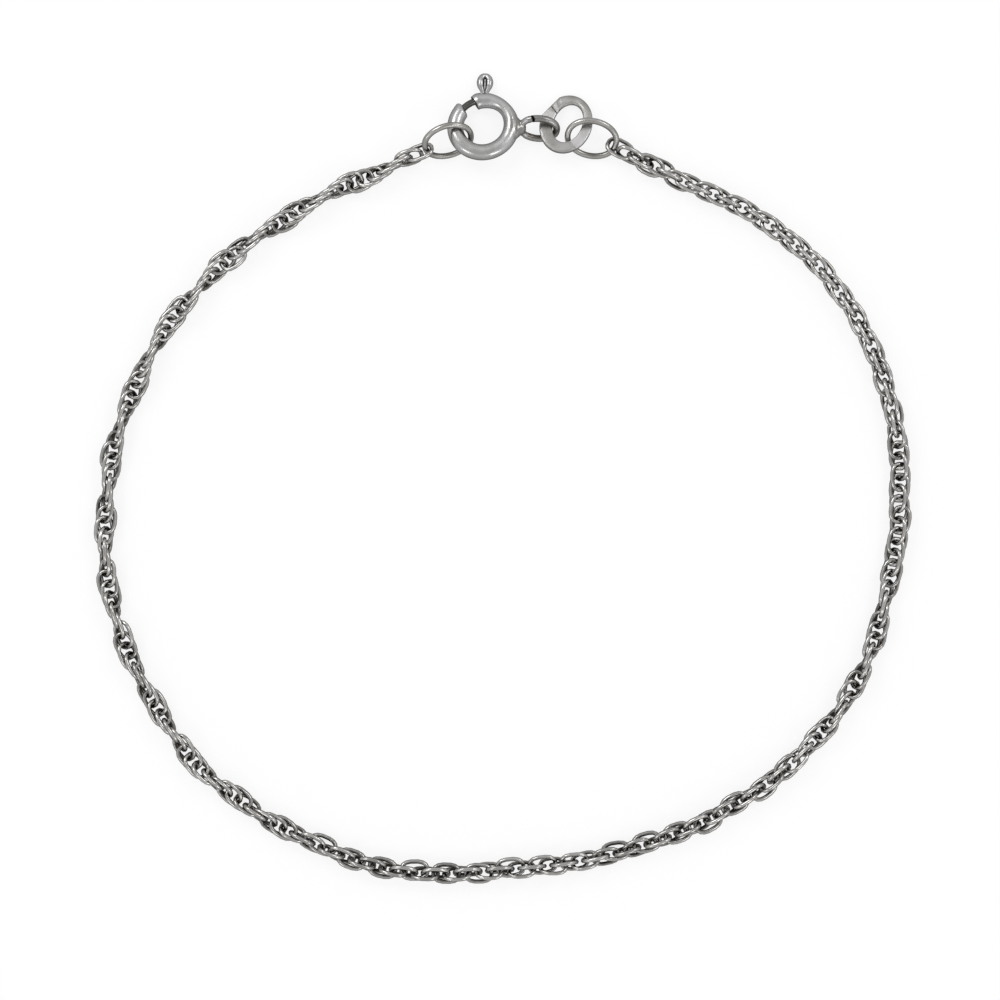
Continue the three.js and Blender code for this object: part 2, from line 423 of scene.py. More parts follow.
@dataclass(frozen=True)
class Silver:
    """A silver finish: bright metal, a dark colour for tarnishing and for painted shade in hollows, and fine
    scratches.
    """

    name: str
    metal: Point
    # the dark colour, used both for tarnishing and for painted shade
    darkening: Point
    sheen: Sheen
    spread: float = 0.35
    grain: float = 0.12 * MM
    relief: float = 0.25
    patch: float = 1.1 * MM
    smear: float = 0.5 * MM
    scratch: float = 0.02 * MM

    def material(self) -> bpy.types.Material:
        """Builds the finish as a node material.

        Returns:
            The material.
        """
        material = bpy.data.materials.new(self.name)
        material.use_nodes = True
        nodes, links = material.node_tree.nodes, material.node_tree.links
        shader = nodes["Principled BSDF"]
        shader.inputs["Metallic"].default_value = 1.0
        place = nodes.new("ShaderNodeTexCoord").outputs["Object"]

        def noise(size: float, detail: float) -> bpy.types.NodeSocket:
            """Adds a noise whose largest grains have this size in metres."""
            texture = nodes.new("ShaderNodeTexNoise")
            texture.inputs["Scale"].default_value = 1.0 / size
            texture.inputs["Detail"].default_value = detail
            links.new(place, texture.inputs["Vector"])
            return texture.outputs["Fac"]

        def remap(value: bpy.types.NodeSocket, *limits: float) -> bpy.types.NodeSocket:
            """Maps a value from the first two limits to the last two."""
            mapped = nodes.new("ShaderNodeMapRange")
            for key, number in zip(("From Min", "From Max", "To Min", "To Max"), limits):
                mapped.inputs[key].default_value = number
            links.new(value, mapped.inputs["Value"])
            return mapped.outputs["Result"]

        # share of the dark colour: noise patches of tarnishing, plus the marked share, which holds tarnishing
        # and painted shade in hollows
        hollow = nodes.new("ShaderNodeAttribute")
        hollow.attribute_name = "hollow"
        tarnish_and_shade = nodes.new("ShaderNodeMath")
        tarnish_and_shade.operation = "MULTIPLY_ADD"
        tarnish_and_shade.use_clamp = True
        links.new(remap(noise(self.patch, detail=4.0), 0.35, 0.7, 0.0, 1.0), tarnish_and_shade.inputs[0])
        tarnish_and_shade.inputs[1].default_value = self.spread
        links.new(hollow.outputs["Fac"], tarnish_and_shade.inputs[2])
        colour = nodes.new("ShaderNodeMix")
        colour.data_type = "RGBA"
        colour.inputs["A"].default_value = (*self.metal, 1.0)
        colour.inputs["B"].default_value = (*self.darkening, 1.0)
        links.new(tarnish_and_shade.outputs["Value"], colour.inputs["Factor"])
        links.new(colour.outputs["Result"], shader.inputs["Base Color"])
        smears = remap(noise(self.smear, detail=3.0), 0.3, 0.7, *self.sheen.value)
        links.new(smears, shader.inputs["Roughness"])
        bump = nodes.new("ShaderNodeBump")
        bump.inputs["Strength"].default_value = self.relief
        bump.inputs["Distance"].default_value = self.scratch
        links.new(noise(self.grain, detail=6.0), bump.inputs["Height"])
        links.new(bump.outputs["Normal"], shader.inputs["Normal"])
        return material


CHAIN_SILVER = Silver(
    "chain silver", (0.63, 0.618, 0.6), (0.06, 0.054, 0.046), Sheen.POLISHED, spread=0.2
)
CLASP_SILVER = Silver(
    "clasp silver", (0.62, 0.617, 0.615), (0.16, 0.148, 0.13), Sheen.WORN, spread=0.25, relief=0.12
)
RING_SILVER = Silver(
    "jump ring silver", (0.53, 0.52, 0.5), (0.12, 0.11, 0.095), Sheen.WORN, spread=0.3, relief=0.15
)
SATIN_SILVER = Silver(
    "satin silver", (0.7, 0.69, 0.69), (0.35, 0.34, 0.32), Sheen.SATIN, grain=0.09 * MM, relief=0.3
)
BOLT_STEEL = Silver(
    "bolt steel", (0.55, 0.55, 0.55), (0.12, 0.12, 0.115), Sheen.WORN, spread=0.2, relief=0.4
)


# ---- the chain ----


@dataclass
class Route:
    """The run of the chain's middle, from the clasp's left side round the loop to its right side."""

    centre: Pair = (0.0, 0.07)
    height: float = 0.82
    bends: tuple[Pair, ...] = (
        # angle round the loop in degrees, distance from its centre in millimetres
        (104.3, 24.65), (107.0, 24.5), (112.0, 24.3), (120.0, 24.5),
        (135.0, 25.3), (150.0, 26.5), (165.0, 27.8), (180.0, 28.85),
        (195.0, 30.0), (210.0, 30.4), (225.0, 30.7), (240.0, 30.3),
        (255.0, 29.9), (270.0, 28.8), (285.0, 28.8), (300.0, 29.3),
        (315.0, 29.9), (330.0, 30.2), (345.0, 29.5), (360.0, 29.35),
        (375.0, 29.1), (390.0, 28.35), (405.0, 27.1), (411.0, 26.35),
        (417.0, 25.75), (422.0, 25.55), (426.0, 25.55), (429.9, 25.8),
    )

    def __post_init__(self) -> None:
        """Lays a fine line through the bends."""
        corners = [self.corner(angle, distance) for angle, distance in self.bends]
        before = 2 * corners[0] - corners[1]
        after = 2 * corners[-1] - corners[-2]
        padded = [before, *corners, after]
        line = [self.between(*padded[i : i + 4]) for i in range(len(corners) - 1)]
        self.line = np.concatenate([*line, [corners[-1]]])
        steps = np.linalg.norm(np.diff(self.line, axis=0), axis=1)
        self.travel = np.concatenate([[0.0], np.cumsum(steps)])

    def corner(self, angle: float, distance: float) -> np.ndarray:
        """One bend's place in millimetres, seen from above."""
        return np.array(self.centre) + distance * np.array(heading(angle))

    @staticmethod
    def between(a: np.ndarray, b: np.ndarray, c: np.ndarray, d: np.ndarray, steps: int = 60) -> np.ndarray:
        """A smooth centripetal line from b to c, as it leaves a and heads for d.

        Args:
            a: The corner before.
            b: The corner where the stretch starts.
            c: The corner where it ends.
            d: The corner after.
            steps: How many places to give.

        Returns:
            Places from b up to, but not with, c.
        """
        ab, bc, cd = (math.sqrt(np.linalg.norm(q - p)) for p, q in ((a, b), (b, c), (c, d)))
        leave = ((b - a) / ab - (c - a) / (ab + bc) + (c - b) / bc) * bc
        reach = ((c - b) / bc - (d - b) / (bc + cd) + (d - c) / cd) * bc
        t = np.linspace(0.0, 1.0, steps, endpoint=False)[:, None]
        cubic = 2 * (b - c) + leave + reach
        square = 3 * (c - b) - 2 * leave - reach
        return b + t * (leave + t * (square + t * cubic))

    @property
    def length(self) -> float:
        """The run's length in millimetres."""
        return float(self.travel[-1])

    def place(self, distance: float) -> Matrix:
        """The place and heading at a distance along the run.

        Args:
            distance: Millimetres from the start.

        Returns:
            A matrix in metres, X along the run and Z up.
        """
        reach = 0.4
        ends = [self.at(distance - reach), self.at(distance + reach)]
        along = Vector((*(ends[1] - ends[0]), 0.0)).normalized()
        up = Vector((0.0, 0.0, 1.0))
        axes = Matrix((along, up.cross(along), up)).transposed().to_4x4()
        return Matrix.Translation(Vector((*self.at(distance), self.height)) * MM) @ axes

    def at(self, distance: float) -> np.ndarray:
        """The run's place in millimetres at a distance along it, from above."""
        return np.array([np.interp(distance, self.travel, self.line[:, axis]) for axis in (0, 1)])


@dataclass(frozen=True)
class Twist:
    """A stretch of the chain whose links each roll on from the last by the same turns, over and over."""

    links: int
    turns: tuple[float, ...]


END_LINKS = {0: "link_left_1", 1: "link_left_2", -1: "link_right_1", -2: "link_right_2"}


@dataclass
class SingaporeChain:
    """Fine oval links, each linked through the next two and each rolled on from the last."""

    frame: dict
    route: Route = field(default_factory=Route)
    wire: float = 0.32
    width: float = 1.58
    fullness: float = 2.6
    overlap: float = 0.55
    pitch: float = 0.79
    sides: int = 6
    steps: int = 16
    first_rolls: tuple[float, ...] = (37.0, 131.0, 99.5, 74.0)
    last_rolls: tuple[float, ...] = (0.0, 60.0, 125.0, 17.0)
    lifts: tuple[tuple[int, float], ...] = ((2, 0.02), (3, -0.02), (-3, -0.01))
    twists: tuple[Twist, ...] = (
        Twist(links=36, turns=(-24.7,)),
        Twist(links=36, turns=(-29.7,)),
        Twist(links=10, turns=(-36.0,)),
        Twist(links=50, turns=(-58.0, -61.0, -55.0)),
        Twist(links=20, turns=(-33.0,)),
        Twist(links=12, turns=(30.0, 30.0, -60.0)),
        Twist(links=40, turns=(-60.0, -56.0, -63.0)),
    )
    least_roll: float = 24.2
    unevenness: float = 4.0
    settling: int = 200
    slack: float = 0.11
    most_slack: float = 0.24
    skew: float = 3.5
    tarnish_and_shade: Point = (0.08, 1.2, 0.9)  # tarnishing outside, painted shade growing inward onto the inner wall, its most
    neighbour_shadow: Point = (0.55, 0.4, 0.4)  # painted shadow of the neighbour links in the twist's middle: reach, fade, amount
    link_darkening: float = 0.08
    # darker towards -Y and lighter towards +Y, by this much at far millimetres from the middle
    darkening_towards_minus_y: float = 0.1
    far: float = 30.0
    seed: int = 7

    def link(self) -> Object:
        """Models one link: a ring of wire drawn out into an oval.

        Returns:
            The link, lying in the XY plane with its long axis along X.
        """
        bpy.ops.mesh.primitive_torus_add(
            major_segments=self.steps,
            minor_segments=self.sides,
            major_radius=self.reach.y * MM,
            minor_radius=self.wire / 2 * MM,
            rotation=(0.0, 0.0, math.pi / self.steps),
        )
        link = bpy.context.object
        apply_place(link)
        reshape(link, self.drawn_out)
        tidy(link, sharp=180.0)
        # painted shade on the inner wall and painted shadow where neighbours run through, over light
        # tarnishing
        paint_darkening(link, self.darkening)
        return link

    @property
    def reach(self) -> Vector:
        """Half the length and half the width of the oval that a link's wire runs along, in millimetres."""
        return Vector((self.pitch + self.overlap * self.wire, (self.width - self.wire) / 2))

    def drawn_out(self, place: Vector) -> Vector:
        """Moves a place on a round ring of wire to its place on the oval link.

        Args:
            place: The place on the round ring.

        Returns:
            The place on the link.
        """
        angle = math.atan2(place.y, place.x)
        out = math.hypot(place.x, place.y) - self.reach.y * MM
        round_shares = (math.cos(angle), math.sin(angle))
        shares = [math.copysign(abs(share) ** (2 / self.fullness), share) for share in round_shares]
        middle = Vector((self.reach.x * shares[0], self.reach.y * shares[1], 0.0)) * MM
        slopes = [math.copysign(abs(share) ** (self.fullness - 1), share) for share in shares]
        outward = Vector((slopes[0] * self.reach.y, slopes[1] * self.reach.x, 0.0)).normalized()
        return middle + outward * out + Vector((0.0, 0.0, place.z))

    def darkening(self, place: Vector) -> float:
        """Tells how dark a link is painted: a little tarnishing all over, painted shade on its inner wall and
        painted shadow where the next links run through it.

        Args:
            place: A place on the link in its own axes.

        Returns:
            How dark it is painted there.
        """
        x, y, z = place / MM
        shares = (abs(x / self.reach.x), abs(y / self.reach.y))
        size = sum(share**self.fullness for share in shares) ** (1 / self.fullness)
        inward = (1.0 - size) * 2 * self.reach.y / self.wire
        start, fade, amount = self.neighbour_shadow
        # painted shadow of the neighbour links that run through the link's middle
        neighbour_shaded = clamp((start - math.hypot(y, z) / (self.width / 2)) / fade)
        least, growth, most = self.tarnish_and_shade
        # tarnishing all over, painted shade growing onto the inner wall, plus the painted shadow
        return clamp(least + growth * inward) * most + amount * neighbour_shaded

    def rolls(self, count: int) -> np.ndarray:
        """Works out each link's roll about the run, settled so that neighbours' sides lie clear.

        Args:
            count: How many links there are.

        Returns:
            Rolls in degrees.
        """
        turns = [turn for twist in self.twists for turn in (twist.turns * twist.links)[: twist.links]]
        free = count - len(self.first_rolls)
        rolls = np.concatenate([self.first_rolls, self.first_rolls[-1] + np.cumsum(turns[:free])])
        rolls += np.random.default_rng(self.seed).normal(0.0, self.unevenness, count)
        for _ in range(self.settling):
            rolls[: len(self.first_rolls)] = self.first_rolls
            ends = rolls[-len(self.last_rolls) :]
            ends[:] = np.array(self.last_rolls) + 180.0 * np.round((ends - self.last_rolls) / 180.0)
            for gap in (1, 2):
                apart = (rolls[gap:] - rolls[:-gap]) % 180.0
                near = np.clip(self.least_roll - apart, 0.0, None)
                far = np.clip(apart - 180.0 + self.least_roll, 0.0, None)
                rolls[gap:] += (near - far) / 2
                rolls[:-gap] -= (near - far) / 2
        return rolls

    def places(self) -> list[Matrix]:
        """Works out where every link lies; the outermost four are read from their CAD nodes.

        Returns:
            A matrix for each link, in metres.
        """
        count = round(self.route.length / self.pitch) + 1
        pitch = self.route.length / (count - 1)
        chance = np.random.default_rng(self.seed + 1)
        places = []
        for i, roll in enumerate(np.radians(self.rolls(count))):
            free = 1.0 if len(self.first_rolls) <= i < count - len(self.last_rolls) else 0.0
            aside = np.clip(chance.normal(0.0, self.slack), -self.most_slack, self.most_slack)
            aside *= abs(math.cos(roll)) * free
            sway = Matrix.Translation((0.0, aside * MM, 0.0))
            sway @= turned(chance.normal(0.0, self.skew) * free)
            places.append(self.route.place(i * pitch) @ Matrix.Rotation(roll, 4, "X") @ sway)
        for index, lift in self.lifts:
            places[index] = Matrix.Translation((0.0, 0.0, lift * MM)) @ places[index]
        for index, node in END_LINKS.items():
            places[index] = Lie.of_node(self.frame["nodes"][node]).matrix
        return places

    def strand(self, link: Object, places: list[Matrix]) -> Object:
        """Copies the link to each place and joins the copies into one mesh.

        Args:
            link: The link that is copied.
            places: Where the copies go.

        Returns:
            The strand.
        """
        copies = []
        chance = np.random.default_rng(self.seed + 2)
        marks = np.empty(len(link.data.vertices), dtype=np.float32)
        link.data.attributes["hollow"].data.foreach_get("value", marks)
        for place in places:
            copy = link.copy()
            copy.data = link.data.copy()
            link_darkening = chance.normal(0.0, self.link_darkening)
            # darker towards -Y, lighter towards +Y
            link_darkening -= self.darkening_towards_minus_y * place.translation.y / (self.far * MM)
            copy.data.attributes["hollow"].data.foreach_set("value", np.clip(marks + link_darkening, 0.0, 1.0))
            copy.matrix_world = place
            bpy.context.collection.objects.link(copy)
            copies.append(copy)
        select_only(*copies)
        bpy.ops.object.join()
        strand = bpy.context.object
        apply_place(strand)
        return strand

    def build(self) -> list[Object]:
        """Builds the chain in its two halves.

        Returns:
            The two strands.
        """
        link = self.link()
        places = self.places()
        middle = len(places) // 2
        material = CHAIN_SILVER.material()
        halves = (
            ("chain_left_links", places[:middle], ("chain_left", "link_left_1", "link_left_2")),
            ("chain_right_links", places[middle:], ("chain_right", "link_right_1", "link_right_2")),
        )
        made = []
        for name, half, nodes in halves:
            made.append(dress(self.strand(link, half), name, material, BODY, nodes))
        bpy.data.objects.remove(link)
        return made


# ---- the clasp ----


@dataclass
class JumpRings:
    """The two closed oval rings that join the chain's ends to the clasp."""

    frame: dict
    # how dark the wall of each ring's hole is painted, as shade
    darkening: float = 0.7

    def build(self) -> list[Object]:
        """Bends each ring to the size and place of its CAD node.

        Returns:
            The two rings.
        """
        material = RING_SILVER.material()
        made = []
        for node in ("jump_ring_left", "jump_ring_right"):
            lie = Lie.of_node(self.frame["nodes"][node])
            ring = oval_wire(*lie.size)
            tidy(ring, sharp=180.0)
            # painted shade on the wall of the ring's hole
            paint_darkening(ring, inner_wall_shade(*lie.size, self.darkening))
            apply_place(ring, lie.matrix)
            made.append(dress(ring, f"{node}_wire", material, BODY, (node,)))
        return made


@dataclass
class SpringRing:
    """The clasp's hollow ring, its soldered open tail ring, and the sprung bolt inside it."""

    frame: dict
    radius: float = 2.03
    tube: float = 1.08
    width: float = 1.19
    slimming: Pair = (0.24, 45.0)
    ovalness: Pair = (0.061, 31.0)
    sideways: Pair = (-0.034, -0.01)
    bore: float = 0.66
    bolt: float = 0.5
    mouth_tip: float = 137.0
    mouth_heel: float = 109.3
    nose: float = 13.4
    nose_sides: Point = (0.65, 0.04, 0.16)  # the inner side's rise, the outer one's swell and rounding
    nose_height: Pair = (0.65, 0.35)
    slant: float = 7.0
    lip: float = 6.5
    lip_shape: Point = (0.08, 0.1, 0.08)  # how far the heel's lip narrows, thins and turns in
    bore_end: float = 22.0
    socket_end: float = 155.0
    past_tip: float = 6.0
    past_heel: float = 8.0
    window: Pair = (42.0, 97.0)
    window_height: float = 0.52
    window_depth: float = 0.5
    play: float = 0.06
    bevel: float = 0.025
    bolt_ends: Pair = (74.0, 146.0)
    knob: float = 88.6
    knob_slit: Point = (0.22, 3.25, 0.62)  # half width, distance out and half length of the slit's painted shade
    bolt_fades: Pair = (0.1, 0.04)
    knob_legs: tuple[Point, ...] = (
        # across, out from the ring's middle, the wire's diameter
        (0.13, 2.0, 0.26), (0.13, 2.55, 0.26), (0.19, 2.8, 0.38),
        (0.29, 3.15, 0.55), (0.31, 3.45, 0.59), (0.22, 3.77, 0.5),
    )
    knob_top: Point = (0.0, 3.89, 0.4)
    tail_size: Point = (3.15, 2.27, 0.52)
    tail_offset: Point = (4.05, -0.14, -0.19)
    tail_turns: Point = (41.5, 4.5, -4.0)
    tail_cut: Point = (-0.66, 0.85, 0.15)
    tail_cut_slope: float = 34.0
    tail_joint: float = -3.0
    solder: tuple[Pair, ...] = (
        # out from the ring's middle, the web's breadth
        (2.1, 2.3), (2.45, 1.8), (2.75, 1.15),
        (2.92, 0.9), (3.04, 0.66), (3.11, 0.3),
    )
    solder_flatness: Pair = (0.42, 0.5)
    solder_reach: float = 0.95
    solder_tarnish: Pair = (1.05, 1.1)
    tail_tarnish_and_shade: Point = (0.5, 0.5, 1.5)  # tarnishing everywhere, more as painted shade on the inner wall, how steeply
    cut_edge: float = 0.72

    def __post_init__(self) -> None:
        """Reads the ring's middle and plane from the trigger's joint, and places the tail ring."""
        joint = self.frame["joints"][0]
        middle, normal = Vector(joint["pos_m"]), Vector(joint["axis"])
        self.lie = Lie.about(np.array([middle]), normal, Vector((1.0, 0.0, 0.0)))
        roll, dip, turn = (turned(angle, axis) for angle, axis in zip(self.tail_turns, "XYZ"))
        self.tail_place = Matrix.Translation(middle + Vector(self.tail_offset) * MM) @ turn @ dip @ roll

    def arc(self, start: float, end: float, width: float, sides: int = 20, steps: int = 40) -> Object:
        """Makes a round bar along the ring's own circle, between two angles."""
        return swept_arc(self.radius * MM, start, end, sides, steps, (width / 2 * MM, width / 2 * MM))

    def shape_ends(self, place: Vector) -> Vector:
        """Gives the tube its width and slightly oval run, rounds its tip to a blunt nose and slants its heel.

        Args:
            place: A place on the plain tube.

        Returns:
            Where it goes.
        """
        angle = math.degrees(math.atan2(place.y, place.x)) % 360.0
        out = math.hypot(place.x, place.y) / MM - self.radius
        wide, shift = self.run(angle)
        slide = 0.0
        if angle >= self.mouth_tip - 0.5:
            nose = clamp((self.mouth_tip + self.nose - angle) / self.nose)
            rise, swell, rounding = self.nose_sides
            inner = rise * nose**2.2 - self.tube / 2 * wide
            outer = self.tube / 2 * wide + swell * nose - rounding * nose**12
            wide, shift = (outer - inner) / self.tube, shift + (outer + inner) / 2
            least, rest = self.nose_height
            thick = least + rest * (1.0 - nose * nose) ** 0.8
        else:
            slant = clamp((angle - self.mouth_heel + 2 * self.lip) / (2 * self.lip))
            lip = clamp((angle - self.mouth_heel + self.lip) / self.lip)
            narrowing, thinning, inset = self.lip_shape
            wide, thick = wide * (1.0 - narrowing * lip**1.5), 1.0 - thinning * lip**1.5
            shift, slide = shift - inset * lip, self.slant * slant * out
        reach = (self.radius + shift + out * wide) * MM
        x, y = heading(angle + slide)
        return Vector((reach * x, reach * y, place.z * thick))

    def run(self, angle: float) -> Pair:
        """Tells how wide the tube is and where its middle runs, on its slightly oval way round.

        Args:
            angle: The angle round the ring, in degrees.

        Returns:
            The tube's width as a share of its height, and its shift outward in millimetres.
        """
        slimness, slim_at = self.slimming
        oval, longest = self.ovalness
        near = max(0.0, math.cos(math.radians(angle - slim_at))) ** 6
        shift = oval * math.cos(math.radians(2 * (angle - longest)))
        shift += Vector(self.sideways).dot(heading(angle))
        return (self.width - slimness * near) / self.tube, shift

    def tail(self) -> Object:
        """Bends the open tail ring and cuts it where its ends meet.

        Returns:
            The tail ring, in its place.
        """
        ring = oval_wire(*(size * MM for size in self.tail_size))
        x, y, gap = self.tail_cut
        slope = turned(self.tail_cut_slope, "Y")
        bpy.ops.mesh.primitive_cube_add(scale=(gap / 2 * MM, 0.35 * MM, 0.5 * MM))
        cut = bpy.context.object
        apply_place(cut, Matrix.Translation(Vector((x, y, 0.0)) * MM) @ slope)
        combine(ring, cut, "DIFFERENCE")
        apply_place(ring, self.tail_place)
        return ring

    def solder_web(self) -> Object:
        """Makes the web of solder that narrows from the tube to the tail ring.

        Returns:
            The web, in the tube's own axes.
        """
        near, far = self.solder[0][0], self.solder[-1][0]
        flat, rounding = self.solder_flatness
        line = [(out * MM, 0.0, 0.0) for out, _ in self.solder]
        web = bent_wire(line, [breadth * MM for _, breadth in self.solder])

        def flatten(place: Vector) -> Vector:
            """Flattens the web, less towards the tail ring."""
            height = flat + rounding * (place.x / MM - near) / (far - near)
            return Vector((*place.xy, place.z * height))

        reshape(web, flatten)
        apply_place(web, turned(self.tail_joint))
        return web

    def build_ring(self) -> Object:
        """Builds the hollow ring with its mouth, window, solder and tail ring.

        Returns:
            The finished piece.
        """
        ring = self.arc(self.mouth_tip, self.mouth_heel + 360.0, self.tube, sides=32, steps=200)
        reshape(ring, self.shape_ends)
        combine(ring, self.solder_web(), "UNION")
        combine(ring, self.arc(self.bore_end, self.mouth_heel + self.past_heel, self.bore), "DIFFERENCE")
        socket = self.arc(self.mouth_tip - self.past_tip, self.socket_end, self.bolt + self.play)
        combine(ring, socket, "DIFFERENCE")
        size = (self.window_depth * MM, self.window_height / 2 * MM)
        slot = swept_arc((self.radius + self.window_depth) * MM, *self.window, sides=4, steps=24, size=size)
        combine(ring, slot, "DIFFERENCE")
        apply_place(ring, self.lie.matrix)
        combine(ring, self.tail(), "UNION")
        self.smooth_joint(ring)
        tidy(ring)
        edges = {"limit_method": "ANGLE", "angle_limit": math.radians(50)}
        apply_modifier(ring, "BEVEL", width=self.bevel * MM, segments=2, **edges)
        # painted shade in the bore and on the tail ring, dark solder round the joint
        paint_darkening(ring, self.darkening)
        material = CLASP_SILVER.material()
        return dress(ring, "spring_ring_tube", material, BODY, ("spring_ring",))

    @property
    def joint(self) -> Vector:
        """Where the solder's middle lies."""
        out = Vector(((self.radius + self.tube / 2) * MM, 0.0, 0.0))
        return self.lie.matrix @ turned(self.tail_joint) @ out

    def darkening(self, place: Vector) -> float:
        """Tells how dark the ring is painted: painted shade in its bore, dark solder round the joint, and on
        the tail ring tarnishing with painted shade on its inner wall and in its cut.

        Args:
            place: A place on the finished ring.

        Returns:
            How dark it is painted there.
        """
        own = self.lie.matrix.inverted() @ place / MM
        depth = math.hypot(math.hypot(own.x, own.y) - self.radius, own.z)
        # painted shade: the bore's wall is painted fully dark
        if depth < self.bore / 2 + 0.02:
            return 1.0
        in_tail = self.tail_place.inverted() @ place
        most, fade = self.solder_tarnish
        soldered = most - (place - self.joint).length / (fade * MM)
        if depth > self.tube / 2 + 0.3 and in_tail.x > -1.0 * MM and soldered < 0.25:
            # tail ring: tarnishing plus painted shade on its inner wall and in its cut
            least, more, growth = self.tail_tarnish_and_shade
            inside = inner_wall_shade(*(size * MM for size in self.tail_size), growth)(in_tail)
            return max(least + more * inside, self.cut_shade(in_tail / MM))
        return soldered

    def cut_shade(self, place: Vector) -> float:
        """Tells where the tail ring's cut is painted dark as shade: fully on the cut's two walls.

        Args:
            place: A place in the tail ring's own axes, in millimetres.

        Returns:
            The painted shade there.
        """
        x, y, gap = self.tail_cut
        slope = math.tan(math.radians(self.tail_cut_slope))
        return 1.0 if abs(place.x - x - slope * place.z) < gap * self.cut_edge and place.y > y / 2 else 0.0

    def smooth_joint(self, ring: Object) -> None:
        """Runs the solder smoothly into the tube and the tail ring.

        Args:
            ring: The joined ring.
        """
        middle = self.joint
        with editing(ring):
            select_vertices(ring, lambda place: (place - middle).length < self.solder_reach * MM)
            bpy.ops.mesh.subdivide(number_cuts=1)
            bpy.ops.mesh.vertices_smooth(factor=0.5, repeat=12)

    def bolt_darkening(self, place: Vector) -> float:
        """Tells how dark the bolt is painted: dark all along its bar, and painted shade in its knob's slit.

        Args:
            place: A place on the bolt, in the ring's own axes.

        Returns:
            How dark it is painted there.
        """
        across, out, _ = Matrix.Rotation(math.radians(90.0 - self.knob), 3, "Z") @ place / MM
        breadth, middle, reach = self.knob_slit
        # painted shade in the knob's slit
        slit = breadth * (1.0 - ((out - middle) / reach) ** 2)
        soft_bar, soft_slit = self.bolt_fades
        bar = self.radius + self.bolt / 2 + soft_bar
        return max((bar - out) / soft_bar, (slit - abs(across)) / soft_slit)

    def build_bolt(self) -> Object:
        """Builds the bolt and the bent knob that slides it.

        Returns:
            The finished piece.
        """
        bolt = self.arc(*self.bolt_ends, self.bolt)
        line = [(-across, out, wire) for across, out, wire in self.knob_legs]
        line += [self.knob_top, *reversed(self.knob_legs)]
        points = [(across * MM, out * MM, 0.0) for across, out, _ in line]
        knob = bent_wire(points, [wire * MM for _, _, wire in line])
        apply_place(knob, turned(self.knob - 90.0))
        combine(bolt, knob, "UNION", crossing=True)
        # dark bar, painted shade in the knob's slit
        paint_darkening(bolt, self.bolt_darkening)
        apply_place(bolt, self.lie.matrix)
        tidy(bolt)
        return dress(bolt, "trigger_bolt", BOLT_STEEL.material(), TRIGGER_BODY, ("trigger",))


@dataclass(frozen=True)
class Oval:
    """An oval by its middle, its half width and half height, and how far its top leans to the right."""

    x: float
    y: float
    half_width: float
    half_height: float
    lean: float

    def point(self, angle: float) -> Vector:
        """The oval's point at an angle in radians, in millimetres."""
        lean = math.radians(self.lean)
        x, y = math.cos(angle + lean), math.sin(angle + lean)
        upright = Vector((self.half_width * x, self.half_height * y, 0.0))
        return Matrix.Rotation(-lean, 3, "Z") @ upright + Vector((self.x, self.y, 0.0))


@dataclass(frozen=True)
class PressedFace:
    """A stretch of the flat ring's upper face that was pressed down flat, between two angles in degrees."""

    start: float
    end: float
    depth: float
    tilt: float
    skew: float = 5.0
    edge: float = 1.5

    def share(self, angle: float, across: float) -> float:
        """Tells whether a place lies on the face, from 0 off it to 1 on it.

        Args:
            angle: The angle round the ring, in degrees.
            across: The place across the band, from -1 at the hole to 1 at the rim.

        Returns:
            The share, which changes over the face's two edges.
        """
        half = (self.end - self.start) / 2
        off = abs((angle - self.skew * across - self.start - half + 180.0) % 360.0 - 180.0)
        return clamp((half - off) / self.edge)

    def drop(self, angle: float, across: float) -> float:
        """How far the face lies below the plain one at a place like that of share, in millimetres."""
        return self.share(angle, across) * (self.depth + self.tilt * across)


TORUS_TUBE = 0.25


